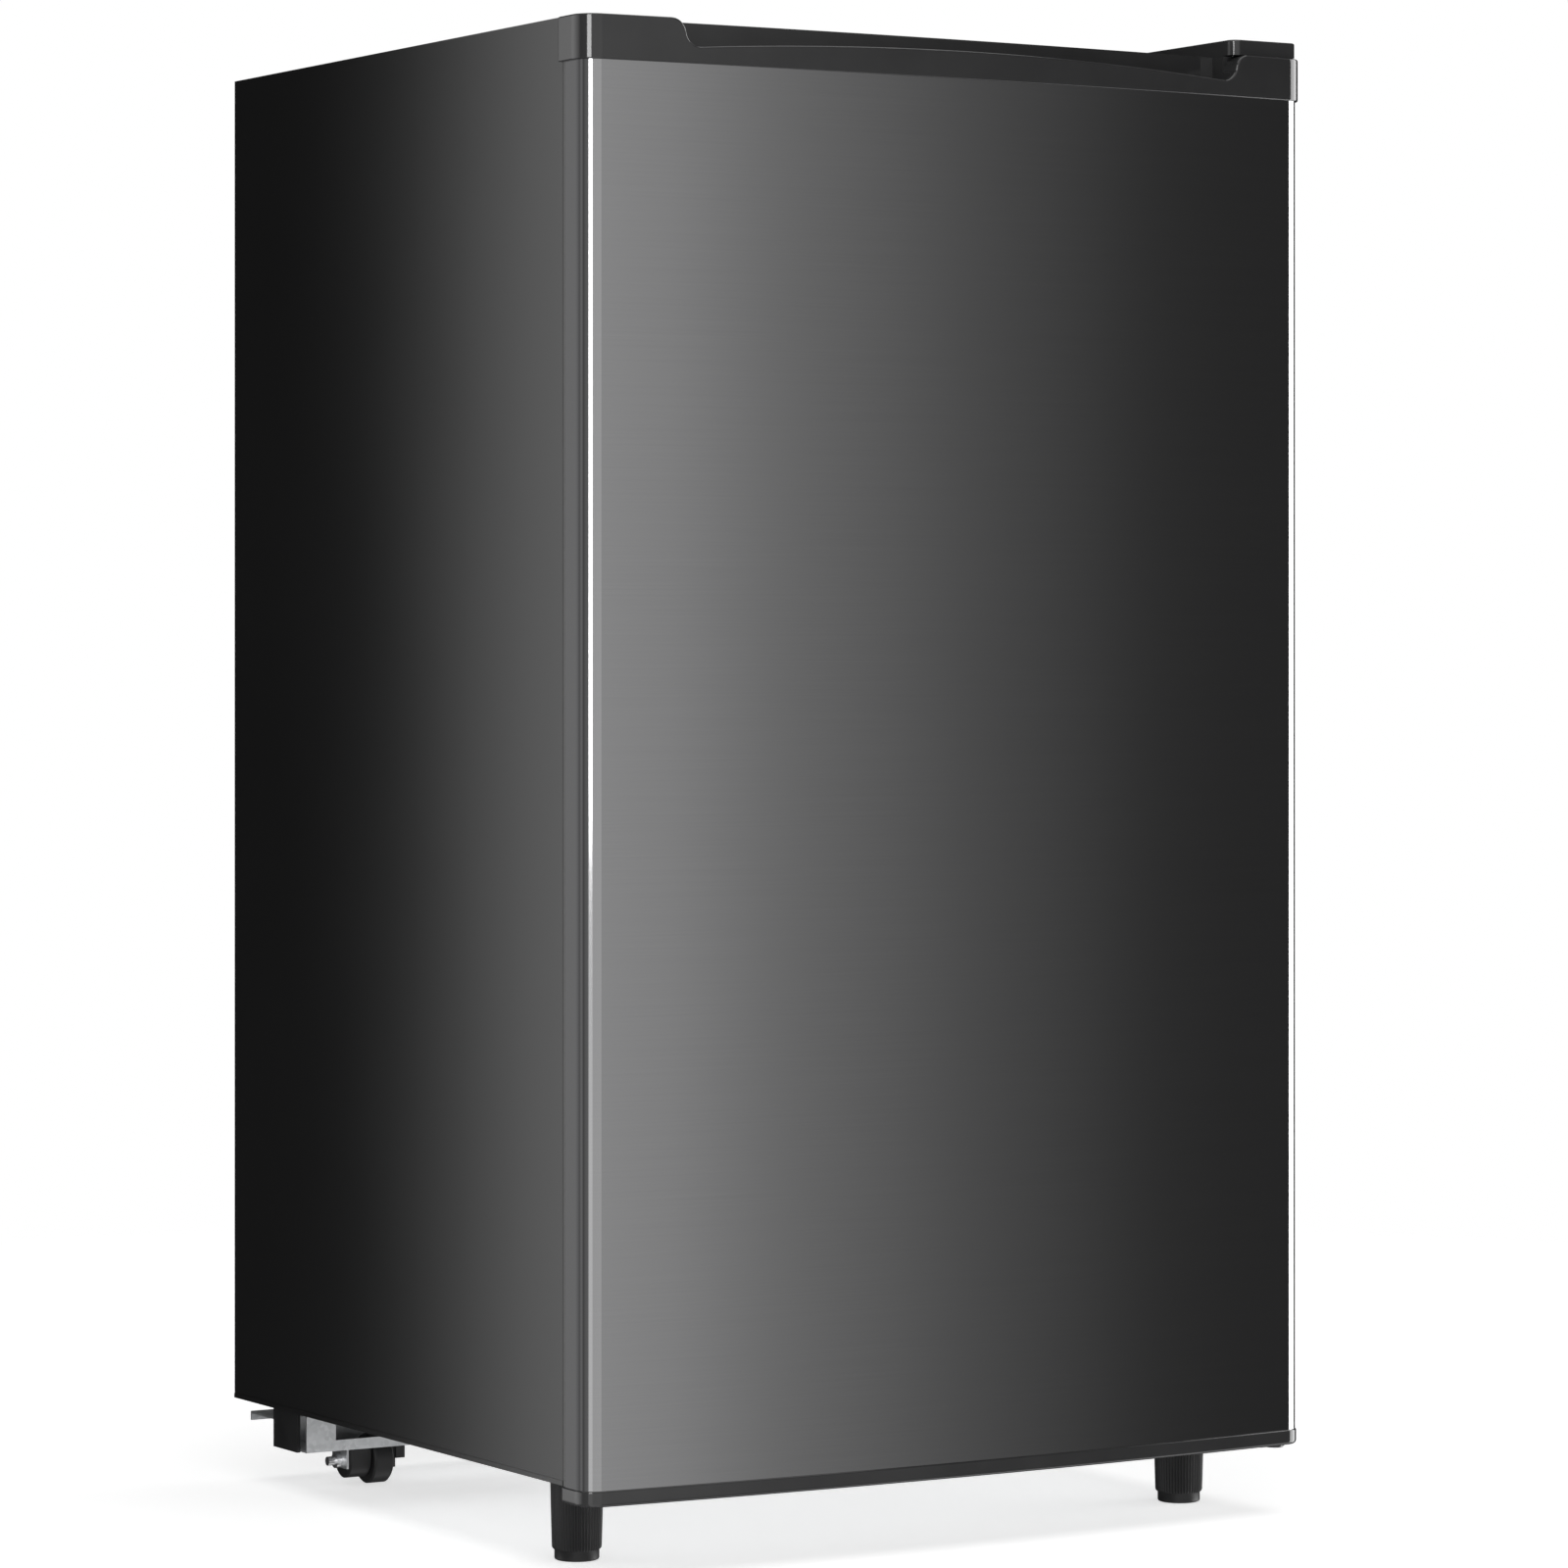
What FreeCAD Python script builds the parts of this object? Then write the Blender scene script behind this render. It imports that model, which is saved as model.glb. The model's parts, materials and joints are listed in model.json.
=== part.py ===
import FreeCAD, Part
import math
import os
import re

import Sketcher
from FreeCAD import Placement, Rotation, Vector

# A compact single-door refrigerator, in millimetres. +Z is up, the door faces -Y, and the
# origin is on the floor under the middle of the overall box.

SIZES = {
    # outer casing
    "cab_half": 220.0,        # half the cabinet's width
    "cab_front": -198.4,      # front plane of the cabinet
    "cab_back": 186.1,        # rear plane of the cabinet
    "cab_base": 45.5,         # underside of the cabinet
    "cab_top": 788.0,         # top of the cabinet
    "skin": 0.7,              # thickness of the steel sheets
    "fold": 14.0,             # depth of the folded front edges
    "hem": 2.5,               # height of the hem along the foot of each side
    "hem_proud": 0.3,
    "bay_front": 41.5,        # front wall of the compressor bay
    "bay_top": 235.0,         # roof of the compressor bay
    "rear_limit": 235.0,      # outer face of the wall spacers
    # inner liner
    "liner_wall": 1.5,
    "room_half": 184.0,       # half the inside width
    "room_low": 88.0,         # inside floor
    "room_high": 744.0,       # inside ceiling
    "room_back": 146.0,       # inside rear wall
    "step_front": 4.0,        # front of the step over the compressor
    "step_top": 272.0,        # top of that step
    "room_round": 14.0,       # rounding inside the liner
    "ledge_deep": 6.0,        # how far the shelf guides stand in
    "ledge_tall": 4.0,
    "ledge_front": -110.0,
    "ledge_back": 132.0,
    # shelves and chiller
    "glass_thick": 4.0,
    "shelf_half": 182.8,
    "shelf_front": -104.0,
    "shelf_back": 138.0,
    "low_shelf": 300.0,
    "high_shelf": 455.0,
    "tray_level": 614.0,
    "chill_half": 165.0,
    "chill_low": 645.0,
    "chill_high": 740.0,
    "chill_front": -80.0,
    "chill_back": 136.0,
    "chill_wall": 2.0,
    "frame_deep": 12.0,
    "flap_pin_z": 730.0,
    "flap_pin_y": -88.0,
    "flap_half": 153.0,
    "flap_low": 656.0,
    "flap_pin": 1.5,          # radius of the flap's pins
    # door
    "door_back": -199.6,
    "door_chord": -224.6,     # front of the door at its sides
    "door_bow": 9.4,          # how much further the middle stands out
    "door_half": 222.0,       # half the width of the door's steel panel
    "door_low": 45.6,
    "door_high": 764.7,
    "door_round": 10.0,
    "panel_edge": -204.0,     # rear edge of the steel panel's sides
    "cap_top": 787.6,
    "cap_half": 224.0,
    "cap_proud": 1.0,
    "cap_soft": 1.0,          # rounding along the upper edges of both caps
    "cap_under": 0.8,         # rounding under the top cap
    "foot_cap_soft": 2.2,     # rounding under the bottom cap
    "foot_cap_low": 37.3,
    "foot_cap_half": 222.6,
    "liner_flat": -209.0,     # rear face of the door liner inside the rim
    "liner_deep": -211.0,     # face of the door liner against the foam
    "rim_in": 200.0,
    "rim_half": 221.2,
    "dyke_half": 172.0,
    "dyke_wall": 12.0,
    "dyke_back": -181.0,
    "dyke_low": 96.0,
    "dyke_high": 734.0,
    "seal_half": 199.0,
    "seal_wide": 14.0,
    "seal_back": -198.7,
    "seal_low": 69.0,
    "seal_high": 761.0,
    "rack_wall": 2.5,
    # grip scooped into the top cap
    "grip_mid": 5.0,          # middle of the scoop, towards the hinge
    "grip_half": 170.0,       # half length of the scoop
    "grip_floor": 768.5,
    "grip_front": 4.5,        # thickness of the wall in front of the scoop
    "grip_wide": 17.0,
    "lip_end": 773.4,         # height of the low front lip at its ends
    "lip_mid": 779.3,         # and at its middle
    "lip_half": 162.5,
    "lip_run": 16.5,          # width of each S bend up to the cap's top
    # door hinge
    "pin_x": 212.1,
    "pin_y": -213.0,
    "pin_rad": 2.5,
    "bush_rad": 4.5,
    "running": 0.05,          # radial running clearance
    "gap": 0.3,               # gap between pieces that move past each other
    "plate_thick": 2.0,
    "cover_top": 796.3,
    "cover_left": 177.0,
    "cover_right": 218.0,
    "cover_front": -223.5,
    "cover_back": -126.0,
    "cover_wall": 1.4,
    "cover_soft": 1.2,        # rounding along its top edges
    # feet and rollers
    "foot_x": 188.8,
    "foot_y": -156.4,
    "foot_top_rad": 13.85,
    "foot_low_rad": 12.9,
    "foot_pad_rad": 11.6,
    "foot_pad": 5.0,
    "stud_rad": 4.0,
    "stud_top": 68.0,
    "socket_rad": 8.0,
    "socket_top": 72.0,
    "roller_x": 160.0,
    "roller_y": 131.5,
    "roller_rad": 14.0,
    "roller_wide": 12.0,
    "axle_rad": 2.5,
    "cheek_off": 14.0,        # from a roller's outer face to its steel cheek
    "cheek_thick": 1.4,
    # compressor base beam
    "beam_half": 210.0,
    "beam_front": 114.6,
    "beam_back": 151.6,
    "beam_low": 22.0,
    "beam_sheet": 1.2,
    "beam_wall": 6.0,
    "beam_tab": 18.0,
    "beam_shelf": 37.2,
    "beam_lip": 32.1,
    # compressor and condenser
    "comp_x": 20.0,
    "comp_y": 118.0,
    "comp_rad": 58.0,
    "comp_low": 52.0,
    "comp_high": 190.0,
    "mount_dx": 72.0,
    "mount_dy": 40.0,
    "mount_rad": 11.0,
    "bolt_rad": 3.0,
    "coil_y": 210.0,
    "coil_rad": 2.4,
    "coil_half": 176.0,
    "coil_low": 280.0,
    "coil_pitch": 34.0,
    "coil_passes": 13.0,
    "wire_rad": 0.75,
    "wire_pitch": 12.0,
    "clip_wires": 12.0,       # the clips stand this many wire pitches from the middle
    "clip_half": 4.4,         # half the width of a clip, which passes between two wires
    "clip_tall": 8.0,         # half its height
    # control box
    "box_in": 158.0,
    "box_front": -120.0,
    "box_back": -40.0,
    "box_low": 556.0,
    "box_high": 606.0,
    "knob_y": -97.0,
    "knob_z": 581.0,
    "knob_rad": 17.0,
    "shaft_rad": 3.0,
    "switch_x": -202.0,
    "switch_z": 690.0,
    "switch_rad": 2.4,
}
WORD = re.compile(r"[a-z][a-z_]+[a-z]")
PINNED = 1e-9

doc = FreeCAD.newDocument("mini_fridge")
sheet = doc.addObject("Spreadsheet::Sheet", "Sizes")
for row, (name, number) in enumerate(SIZES.items(), start=1):
    sheet.set(f"A{row}", name)
    sheet.set(f"B{row}", str(number))
    sheet.setAlias(f"B{row}", name)
doc.recompute()
nodes = []


# ---- expressions ------------------------------------------------------------------------

def spell(text):
    """The expression with each size's name led by the sheet's."""
    return WORD.sub(lambda w: "Sizes." + w.group() if w.group() in SIZES else w.group(), str(text))


def value(text):
    """The number that an expression has now."""
    return float(probe.evalExpression(spell(text)))


def bind(thing, prop, text):
    """Ties a property to the sheet."""
    thing.setExpression(prop, spell(text))


def keep(thing, label):
    """Makes an object one of the named sub-parts."""
    thing.Label = label
    nodes.append(thing)
    return thing


probe = doc.addObject("App::FeaturePython", "probe")


# ---- primitives -------------------------------------------------------------------------

def box(x, y, z):
    """A box between a low and a high expression on each axis."""
    block = doc.addObject("Part::Box", "box")
    for (low, high), prop, axis in zip((x, y, z), ("Length", "Width", "Height"), "xyz"):
        bind(block, prop, f"({high}) - ({low})")
        bind(block, f"Placement.Base.{axis}", f"{low}")
    return block


TURNS = {"x": Rotation(Vector(0, 1, 0), 90), "y": Rotation(Vector(1, 0, 0), -90), "z": Rotation()}


def rod(radius, length, start, axis="z"):
    """A cylinder from its start, along +X, +Y or +Z."""
    bar = doc.addObject("Part::Cylinder", "rod")
    bar.Placement = Placement(Vector(), TURNS[axis])
    bind(bar, "Radius", radius)
    bind(bar, "Height", length)
    for place, letter in zip(start, "xyz"):
        bind(bar, f"Placement.Base.{letter}", place)
    return bar


def fuse(*things):
    joined = doc.addObject("Part::MultiFuse", "fuse")
    joined.Shapes = list(things)
    joined.Refine = True
    return joined


def cut(base, *tools):
    left = doc.addObject("Part::Cut", "cut")
    left.Base = base
    left.Tool = tools[0] if len(tools) == 1 else fuse(*tools)
    left.Refine = True
    return left


def group(*things):
    """Separate solids that share one sub-part."""
    several = doc.addObject("Part::Compound", "group")
    several.Links = list(things)
    return several


def ring(x, y, z, edge_x, edge_z):
    """A rectangular frame that lies in the XZ plane, edge_x and edge_z wide."""
    hole = box((f"{x[0]} + ({edge_x})", f"{x[1]} - ({edge_x})"), (f"{y[0]} - 1", f"{y[1]} + 1"),
               (f"{z[0]} + ({edge_z})", f"{z[1]} - ({edge_z})"))
    return cut(box(x, y, z), hole)


def straight_edges(shape, direction, test=None):
    """Numbers of the straight edges along a direction whose middle passes the test."""
    found = []
    for number, edge in enumerate(shape.Edges, start=1):
        if not isinstance(edge.Curve, (Part.Line, Part.LineSegment)):
            continue
        along = (edge.Vertexes[-1].Point - edge.Vertexes[0].Point).normalize()
        if abs(abs(along.dot(direction)) - 1) < PINNED and (test is None or test(edge.CenterOfMass)):
            found.append(number)
    return found


def rounded(thing, radius, direction, test=None):
    """Rounds the straight edges along one direction."""
    doc.recompute()
    soft = doc.addObject("Part::Fillet", "rounded")
    soft.Base = thing
    size = value(radius)
    soft.Edges = [(n, size, size) for n in straight_edges(thing.Shape, direction, test)]
    return soft


def softened(thing, radius, test):
    """Rounds the edges whose middle passes the test."""
    doc.recompute()
    soft = doc.addObject("Part::Fillet", "soft")
    soft.Base = thing
    size = value(radius)
    chosen = []
    for number, edge in enumerate(thing.Shape.Edges, 1):
        middle = edge.valueAt((edge.FirstParameter + edge.LastParameter) / 2)
        if test(middle):
            chosen.append((number, size, size))
    soft.Edges = chosen
    return soft


X, Y, Z = Vector(1, 0, 0), Vector(0, 1, 0), Vector(0, 0, 1)


# ---- sketched bodies --------------------------------------------------------------------

def new_body(name):
    return doc.addObject("PartDesign::Body", name)


def new_sketch(body, plane, offset="0"):
    """A sketch on one of the body's own origin planes, moved along the plane's normal."""
    sketch = body.newObject("Sketcher::SketchObject", body.Name + "_sketch")
    support = next(f for f in body.Origin.OriginFeatures if f.Role == plane)
    sketch.AttachmentSupport = (support, [""])
    sketch.MapMode = "FlatFace"
    bind(sketch, "AttachmentOffset.Base.z", offset)
    return sketch


def arc_from(start, end, radius, turn):
    """The short arc between two points; turn is 1 anticlockwise and -1 clockwise."""
    chord = end - start
    half = chord.Length / 2
    left = Vector(-chord.y, chord.x, 0).normalize()
    centre = (start + end) * 0.5 + left * turn * math.sqrt(max(radius * radius - half * half, 0))
    first, last = (start, end) if turn > 0 else (end, start)
    begin = math.atan2(first.y - centre.y, first.x - centre.x)
    finish = math.atan2(last.y - centre.y, last.x - centre.x)
    if finish < begin:
        finish += 2 * math.pi
    return Part.ArcOfCircle(Part.Circle(centre, Z, radius), begin, finish)


def outline(sketch, corners):
    """A closed outline. A corner is (x, y), or (x, y, radius, turn) when an arc leaves it."""
    points = [Vector(value(c[0]), value(c[1]), 0) for c in corners]
    ends = []
    first = sketch.GeometryCount
    for i, corner in enumerate(corners):
        start, end = points[i], points[(i + 1) % len(points)]
        if len(corner) == 2:
            sketch.addGeometry(Part.LineSegment(start, end))
            ends.append((1, 2))
        else:
            sketch.addGeometry(arc_from(start, end, value(corner[2]), corner[3]))
            ends.append((1, 2) if corner[3] > 0 else (2, 1))
    for i, corner in enumerate(corners):
        here, after = first + i, first + (i + 1) % len(corners)
        following = ends[(i + 1) % len(corners)][0]
        sketch.addConstraint(Sketcher.Constraint("Coincident", here, ends[i][1], after, following))
        for kind, text, line in (("DistanceX", corner[0], -2), ("DistanceY", corner[1], -1)):
            number = value(text)
            if abs(number) < PINNED:
                sketch.addConstraint(Sketcher.Constraint("PointOnObject", here, ends[i][0], line))
            else:
                rule = Sketcher.Constraint(kind, -1, 1, here, ends[i][0], number)
                place = sketch.addConstraint(rule)
                bind(sketch, f"Constraints[{place}]", text)
        if len(corner) > 2:
            place = sketch.addConstraint(Sketcher.Constraint("Radius", here, value(corner[2])))
            bind(sketch, f"Constraints[{place}]", corner[2])


def pad(body, sketch, length, reverse=False, middle=False):
    feature = body.newObject("PartDesign::Pad", body.Name + "_pad")
    feature.Profile = sketch
    bind(feature, "Length", length)
    feature.Reversed = reverse
    feature.Midplane = middle
    return feature


def pocket(body, sketch, length, reverse=False, middle=False):
    """Cuts a pocket and makes sure that it took something away."""
    doc.recompute()
    before = body.Shape.Volume
    feature = body.newObject("PartDesign::Pocket", body.Name + "_pocket")
    feature.Profile = sketch
    bind(feature, "Length", length)
    feature.Reversed = reverse
    feature.Midplane = middle
    doc.recompute()
    if body.Shape.Volume > before - 1:
        raise SystemExit(f"{body.Name}: a pocket cuts nothing")
    return feature


def turned(name, profile):
    """A body turned about the Z axis from a profile of (radius, height) corners."""
    body = new_body(name)
    sketch = new_sketch(body, "XZ_Plane")
    outline(sketch, profile)
    feature = body.newObject("PartDesign::Revolution", name + "_turned")
    feature.Profile = sketch
    feature.ReferenceAxis = (sketch, ["V_Axis"])
    feature.Angle = 360
    return body


def place(thing, x, y, z):
    for letter, text in zip("xyz", (x, y, z)):
        bind(thing, f"Placement.Base.{letter}", text)
    return thing


def along_x(name, profile, half):
    """A body with one (y, z) profile, padded evenly to both sides of the middle."""
    body = new_body(name)
    sketch = new_sketch(body, "YZ_Plane")
    outline(sketch, profile)
    pad(body, sketch, f"2 * ({half})", middle=True)
    return body


def bowed(half, back, chord, bow, soft, left, right):
    """Plan outline of the door: flat sides and back, bowed front, all corners rounded.

    The front corners' arcs run into the bow, so their ends follow from the two radii.
    The rear corners have a radius each, larger on the hinge side, which swings past the cabinet.
    """
    half, soft = f"({half})", f"({soft})"
    big = f"({half} ^ 2 + ({bow}) ^ 2) / (2 * ({bow}))"
    middle = f"({chord}) - ({bow}) + {big}"
    reach = f"sqrt(({big} - {soft}) ^ 2 - ({half} - {soft}) ^ 2)"
    side_y = f"{middle} - {reach}"
    share = f"{big} / ({big} - {soft})"
    join_x = f"({half} - {soft}) * {share}"
    join_y = f"{middle} - {reach} * {share}"
    return [
        (f"-{half}", f"({back}) - {left}"),
        (f"-{half}", side_y, soft, 1),
        (f"-{join_x}", join_y, big, 1),
        (join_x, join_y, soft, 1),
        (half, side_y),
        (half, f"({back}) - {right}", right, 1),
        (f"{half} - {right}", back),
        (f"-{half} + {left}", back, left, 1),
    ]


def tube(name, points, radius, bend):
    """A pipe along straight runs, joined by tangent arcs of one bend radius."""
    corners = [Vector(*p) for p in points]
    edges = []
    start = corners[0]
    for before, corner, after in zip(corners, corners[1:], corners[2:]):
        back = (before - corner).normalize()
        ahead = (after - corner).normalize()
        angle = math.acos(max(-1.0, min(1.0, back.dot(ahead))))
        reach = bend / math.tan(angle / 2)
        inward = (back + ahead).normalize()
        middle = corner + inward * (bend / math.sin(angle / 2) - bend)
        edges.append(Part.LineSegment(start, corner + back * reach).toShape())
        edges.append(Part.Arc(corner + back * reach, middle, corner + ahead * reach).toShape())
        start = corner + ahead * reach
    edges.append(Part.LineSegment(start, corners[-1]).toShape())
    path = Part.Wire(edges)
    circle = Part.makeCircle(radius, corners[0], corners[1] - corners[0])
    solid = path.makePipeShell([Part.Wire([circle])], True, True)
    expected = math.pi * radius * radius * path.Length
    if abs(solid.Volume - expected) > 0.02 * expected:
        raise SystemExit(f"{name}: the pipe's volume is {solid.Volume:.0f}, not {expected:.0f}")
    pipe = doc.addObject("Part::Feature", "pipe")
    pipe.Shape = solid
    return pipe


# ---- outer casing -----------------------------------------------------------------------

def side_panels():
    """Steel sides, each with a folded front edge and a hem along its foot."""
    for name, side in (("left_side_panel", "-1"), ("right_side_panel", "1")):
        body = new_body(name)
        sketch = new_sketch(body, "XY_Plane", "cab_base")
        outer, inner, lip = f"{side} * cab_half", f"{side} * (cab_half - skin)", f"{side} * (cab_half - fold)"
        outline(sketch, [
            (outer, "cab_front"), (lip, "cab_front"), (lip, "cab_front + skin"),
            (inner, "cab_front + skin"), (inner, "cab_back"), (outer, "cab_back"),
        ])
        pad(body, sketch, "cab_top - cab_base")
        hem = new_sketch(body, "XY_Plane", "cab_base")
        proud = f"{side} * (cab_half + hem_proud)"
        outline(hem, [(outer, "cab_front"), (proud, "cab_front"), (proud, "cab_back"), (outer, "cab_back")])
        pad(body, hem, "hem")
        keep(body, name)


def top_and_bottom():
    """Top and bottom sheets between the sides, with their own folded front edges."""
    within = ("skin - cab_half", "cab_half - skin")
    lips = ("fold - cab_half", "cab_half - fold")
    front = ("cab_front", "cab_front + skin")
    top = fuse(box(within, ("cab_front + skin", "cab_back"), ("cab_top - skin", "cab_top")),
               box(lips, front, ("cab_top - fold", "cab_top")))
    keep(top, "top_panel")
    bottom = fuse(box(within, ("cab_front + skin", "bay_front"), ("cab_base", "cab_base + skin")),
                  box(lips, front, ("cab_base", "cab_base + fold")))
    holes = [rod("stud_rad + 0.6", "skin * 5", (f"{side} * foot_x", "foot_y", "cab_base - skin"))
             for side in ("-1", "1")]
    keep(cut(bottom, *holes), "bottom_panel")


def rear_sheets():
    """The flat back, and the folded sheet that steps in over the compressor."""
    within = ("skin - cab_half", "cab_half - skin")
    keep(box(within, ("cab_back - skin", "cab_back"), ("bay_top", "cab_top - skin")), "back_panel")
    bay = along_x("compressor_bay_panel", [
        ("bay_front", "cab_base"), ("bay_front + skin", "cab_base"),
        ("bay_front + skin", "bay_top - skin"), ("cab_back", "bay_top - skin"),
        ("cab_back", "bay_top"), ("bay_front", "bay_top"),
    ], "cab_half - skin")
    keep(bay, "compressor_bay_panel")


def room(name, grow):
    """The inside of the cabinet with its step, grown by the liner's wall where asked."""
    return along_x(name, [
        ("cab_front - 2", f"room_low - {grow}"),
        (f"step_front + {grow}", f"room_low - {grow}"),
        (f"step_front + {grow}", f"step_top - {grow}"),
        (f"room_back + {grow}", f"step_top - {grow}"),
        (f"room_back + {grow}", f"room_high + {grow}"),
        ("cab_front - 2", f"room_high + {grow}"),
    ], f"room_half + {grow}")


def liner_and_foam():
    """The moulded liner with its front flange and shelf guides, and the foam around it."""
    hollow = rounded(room("hollow", "0"), "room_round", Y,
                     lambda p: p.y > -180 or abs(p.x) > 100)
    block = rounded(room("liner_block", "liner_wall"), "room_round + liner_wall", Y)
    bounds = box(("-cab_half", "cab_half"), ("cab_front", "cab_back"), ("cab_base", "cab_top"))
    shell = doc.addObject("Part::Common", "shell")
    shell.Base = block
    shell.Tool = bounds
    flange = box(("fold + 0.2 - cab_half", "cab_half - fold - 0.2"),
                 ("cab_front", "cab_front + liner_wall"),
                 ("cab_base + fold + 0.2", "cab_top - fold - 0.2"))
    ledges = []
    for level in ("low_shelf", "low_shelf + 78", "high_shelf", "high_shelf + 78", "tray_level"):
        for side in ("room_half", "ledge_deep - room_half"):
            ledges.append(box((f"{side} - ledge_deep", side), ("ledge_front", "ledge_back"),
                              (f"{level} - ledge_tall", level)))
    body = cut(fuse(shell, flange), hollow)
    bore = rod("switch_rad + running", "30", ("switch_x", "cab_front - 5", "switch_z"), "y")
    keep(cut(fuse(body, *ledges), bore), "cabinet_liner")

    inside = box(("skin - cab_half", "cab_half - skin"),
                 ("cab_front + liner_wall", "cab_back - skin"), ("cab_base + skin", "cab_top - skin"))
    bay = box(("-cab_half", "cab_half"), ("bay_front", "cab_back + 1"), ("0", "bay_top"))
    sockets = [rod("socket_rad", "socket_top", (f"{side} * foot_x", "foot_y", "0"))
               for side in ("-1", "1")]
    room_for_switch = box(("switch_x - 5", "switch_x + 5"), ("cab_front", "cab_front + 32"),
                          ("switch_z - 5", "switch_z + 5"))
    keep(cut(inside, block, bay, room_for_switch, *sockets), "cabinet_foam")


# ---- hinges -----------------------------------------------------------------------------

def hinges():
    """Upper and lower hinge plates, their pins and screws, and the cover over the upper one."""
    nose = rod("cover_right - cover_wall - 0.1 - pin_x", "plate_thick", ("pin_x", "pin_y", "cab_top"))
    slab = box(("196", "pin_x"), ("pin_y", "-150"), ("cab_top", "cab_top + plate_thick"))
    side = box(("pin_x", "pin_x + 4"), ("pin_y + 3", "-150"), ("cab_top", "cab_top + plate_thick"))
    hole = rod("pin_rad", "20", ("pin_x", "pin_y", "cab_top - 5"))
    screws_up = [("203", "-188"), ("203", "-170"), ("209", "-158")]
    screw_holes = [rod("1.9", "10", (x, y, "cab_top - 4")) for x, y in screws_up]
    keep(cut(fuse(nose, slab, side), hole, *screw_holes), "upper_hinge_plate")

    low = "foot_cap_low - gap"
    lower = along_x("lower_hinge_fold", [
        ("pin_y", f"{low} - plate_thick"), ("-195", f"{low} - plate_thick"),
        ("-195", "cab_base - plate_thick"), ("-160", "cab_base - plate_thick"),
        ("-160", "cab_base"), ("-195 - plate_thick", "cab_base"),
        ("-195 - plate_thick", low), ("pin_y", low),
    ], "8")
    place(lower, "211", "0", "0")
    tip = rod("bush_rad + 0.5", "plate_thick", ("pin_x", "pin_y", f"{low} - plate_thick"))
    low_hole = rod("pin_rad", "20", ("pin_x", "pin_y", f"{low} - 10"))
    screws_low = [("211", "-186"), ("211", "-170")]
    low_screw_holes = [rod("1.9", "10", (x, y, "cab_base - 5")) for x, y in screws_low]
    keep(cut(fuse(lower, tip), low_hole, *low_screw_holes), "lower_hinge_plate")

    upper_pin = rod("pin_rad", "20", ("pin_x", "pin_y", "cab_top + plate_thick - 20"))
    lower_pin = rod("pin_rad", "9", ("pin_x", "pin_y", f"{low} - plate_thick"))
    keep(group(upper_pin, lower_pin), "hinge_pins")

    heads = []
    for x, y in screws_up:
        shank = rod("1.9", "plate_thick", (x, y, "cab_top"))
        heads.append(fuse(shank, rod("3.6", "1.8", (x, y, "cab_top + plate_thick"))))
    for x, y in screws_low:
        shank = rod("1.9", "plate_thick", (x, y, "cab_base - plate_thick"))
        heads.append(fuse(shank, rod("3.6", "1.8", (x, y, "cab_base - plate_thick - 1.8"))))
    keep(group(*heads), "hinge_screws")

    outer = rounded(box(("cover_left", "cover_right"), ("cover_front", "cover_back"),
                        ("cab_top", "cover_top")), "5", Z, lambda p: p.x < 190 or p.y > -130)
    inner = box(("cover_left + cover_wall", "cover_right - cover_wall"),
                ("cover_front + cover_wall", "cover_back - cover_wall"),
                ("cab_top - 1", "cover_top - cover_wall"))
    top = value("cover_top")
    soft = softened(outer, "cover_soft", lambda p: p.z > top - 0.01)
    keep(cut(soft, inner), "hinge_cover")

    plugs = [rod("3.5", "1.2", (x, y, "cab_top")) for x, y in (("-209", "-186"), ("-209", "-168"))]
    keep(group(*plugs), "hinge_hole_plugs")


# ---- feet and rollers -------------------------------------------------------------------

def feet():
    """Levelling feet whose studs turn in inserts in the cabinet's floor."""
    top = "cab_base - gap"
    for name, side in (("left_foot", "-1"), ("right_foot", "1")):
        foot = turned(name, [
            ("0", "0"), ("foot_pad_rad - 0.8", "0", "0.8", 1), ("foot_pad_rad", "0.8"),
            ("foot_pad_rad", "foot_pad"), ("foot_low_rad - 0.4", "foot_pad"),
            ("foot_low_rad", "foot_pad + 1.5"), ("foot_top_rad", f"{top} - 2"),
            ("foot_top_rad", top), ("stud_rad", top), ("stud_rad", "stud_top"), ("0", "stud_top"),
        ])
        place(foot, f"{side} * foot_x", "foot_y", "0")
        keep(foot, name)
    inserts = []
    for side in ("-1", "1"):
        at = (f"{side} * foot_x", "foot_y")
        shell = rod("socket_rad", "socket_top - cab_base - skin", (*at, "cab_base + skin"))
        bore = rod("stud_rad + running", "stud_top + 1 - cab_base", (*at, "cab_base"))
        inserts.append(cut(shell, bore))
    keep(group(*inserts), "foot_sockets")


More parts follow.
